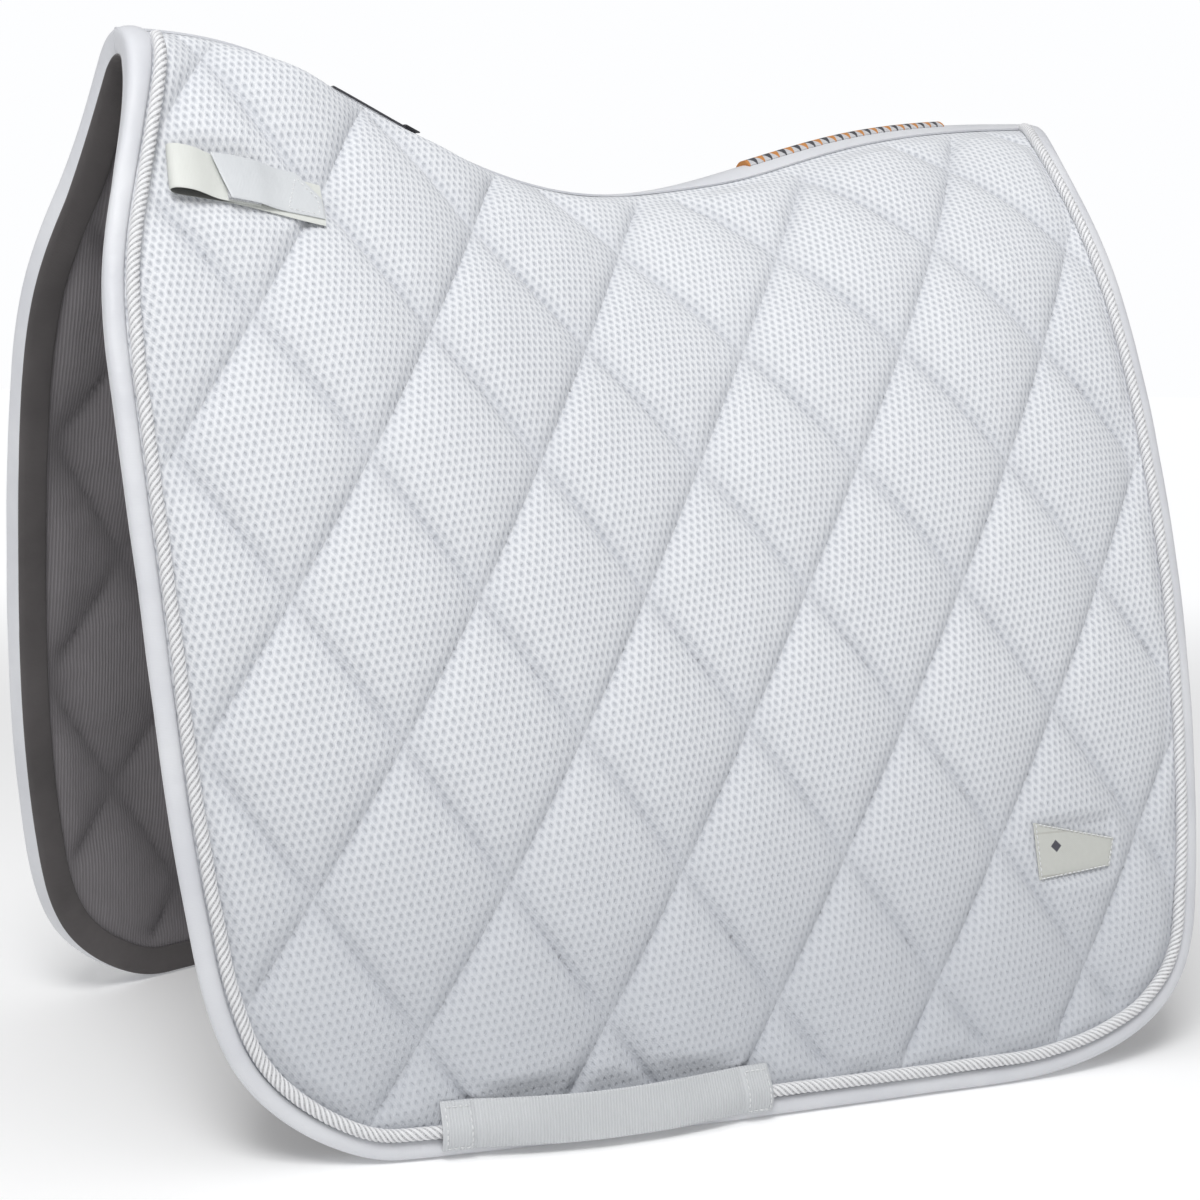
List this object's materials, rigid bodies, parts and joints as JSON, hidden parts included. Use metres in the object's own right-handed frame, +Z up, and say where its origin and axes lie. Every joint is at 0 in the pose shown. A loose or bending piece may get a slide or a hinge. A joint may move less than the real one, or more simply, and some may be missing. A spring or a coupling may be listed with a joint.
{
  "type": "saddle pad",
  "caption": "Quilted dressage saddle pad with mesh shell, grey lining, bound and corded edges, girth and billet straps, and skirts that fold up at the sides.",
  "frame": {"origin": "middle of the floor that the pad stands on, under the middle of its overall length and width", "axes": "+X along the spine towards the tail, +Y to the horse's right, +Z up; the pad stands on the straight hems of its two sides"},
  "size_m": [0.6578, 0.5114, 0.5433],
  "materials": {
    "mesh_shell": "cool white 3-D spacer mesh, quilted, matt",
    "foam_core": "soft foam and wadding",
    "lining": "grey wicking cloth with fine vertical ribs",
    "binding": "smooth white satin tape",
    "inner_binding": "dark grey tape",
    "piping": "twisted silver-white cord",
    "webbing": "ribbed white webbing",
    "billet_tape": "smooth white tape",
    "hook_and_loop": "pale hook-and-loop pile",
    "dark_label": "dark woven label with a plain pale stripe",
    "woven_label": null,
    "side_label": null
  },
  "bodies": {
    "yoke": {"spine_tape": "binding", "spine_tape_inner": "inner_binding", "spine_label_front": "dark_label", "spine_label_rear": "woven_label", "shell_yoke_left": "mesh_shell", "core_yoke_left": "foam_core", "lining_yoke_left": "lining", "binding_yoke_front_left": "binding", "binding_yoke_rear_left": "binding", "inner_binding_yoke_front_left": "inner_binding", "inner_binding_yoke_rear_left": "inner_binding", "rope_yoke_front_left": "piping", "rope_yoke_rear_left": "piping", "billet_loop_left": "billet_tape", "loop_patch_left": "hook_and_loop", "billet_anchor_left": "billet_tape", "shell_yoke_right": "mesh_shell", "core_yoke_right": "foam_core", "lining_yoke_right": "lining", "binding_yoke_front_right": "binding", "binding_yoke_rear_right": "binding", "inner_binding_yoke_front_right": "inner_binding", "inner_binding_yoke_rear_right": "inner_binding", "rope_yoke_front_right": "piping", "rope_yoke_rear_right": "piping", "billet_loop_right": "billet_tape", "loop_patch_right": "hook_and_loop", "billet_anchor_right": "billet_tape"},
    "flap_left": {"shell_flap_left": "mesh_shell", "core_flap_left": "foam_core", "lining_flap_left": "lining", "binding_flap_left": "binding", "inner_binding_flap_left": "inner_binding", "rope_flap_left": "piping", "girth_strap_left": "webbing", "side_label": "side_label"},
    "tab_left": {"billet_tab_left": "billet_tape", "hook_patch_left": "hook_and_loop"},
    "flap_right": {"shell_flap_right": "mesh_shell", "core_flap_right": "foam_core", "lining_flap_right": "lining", "binding_flap_right": "binding", "inner_binding_flap_right": "inner_binding", "rope_flap_right": "piping", "girth_strap_right": "webbing"},
    "tab_right": {"billet_tab_right": "billet_tape", "hook_patch_right": "hook_and_loop"}
  },
  "joints": [
    {"name": "fold_left", "type": "hinge", "parent": "yoke", "child": "flap_left", "pos_m": [-0.02821, -0.13689, 0.34], "axis": [-0.9928, 0.1198, 0], "range_deg": [-8, 75]},
    {"name": "fold_right", "type": "hinge", "parent": "yoke", "child": "flap_right", "pos_m": [-0.02821, 0.13689, 0.34], "axis": [0.9928, 0.1198, 0], "range_deg": [-8, 75]},
    {"name": "tab_left_peel", "type": "hinge", "parent": "yoke", "child": "tab_left", "pos_m": [-0.23677, -0.05769, 0.46127], "axis": [0.0856, 0.5246, 0.847], "range_deg": [0, 150]},
    {"name": "tab_right_peel", "type": "hinge", "parent": "yoke", "child": "tab_right", "pos_m": [-0.23677, 0.05769, 0.46127], "axis": [-0.0856, 0.5246, -0.847], "range_deg": [0, 150]}
  ]
}
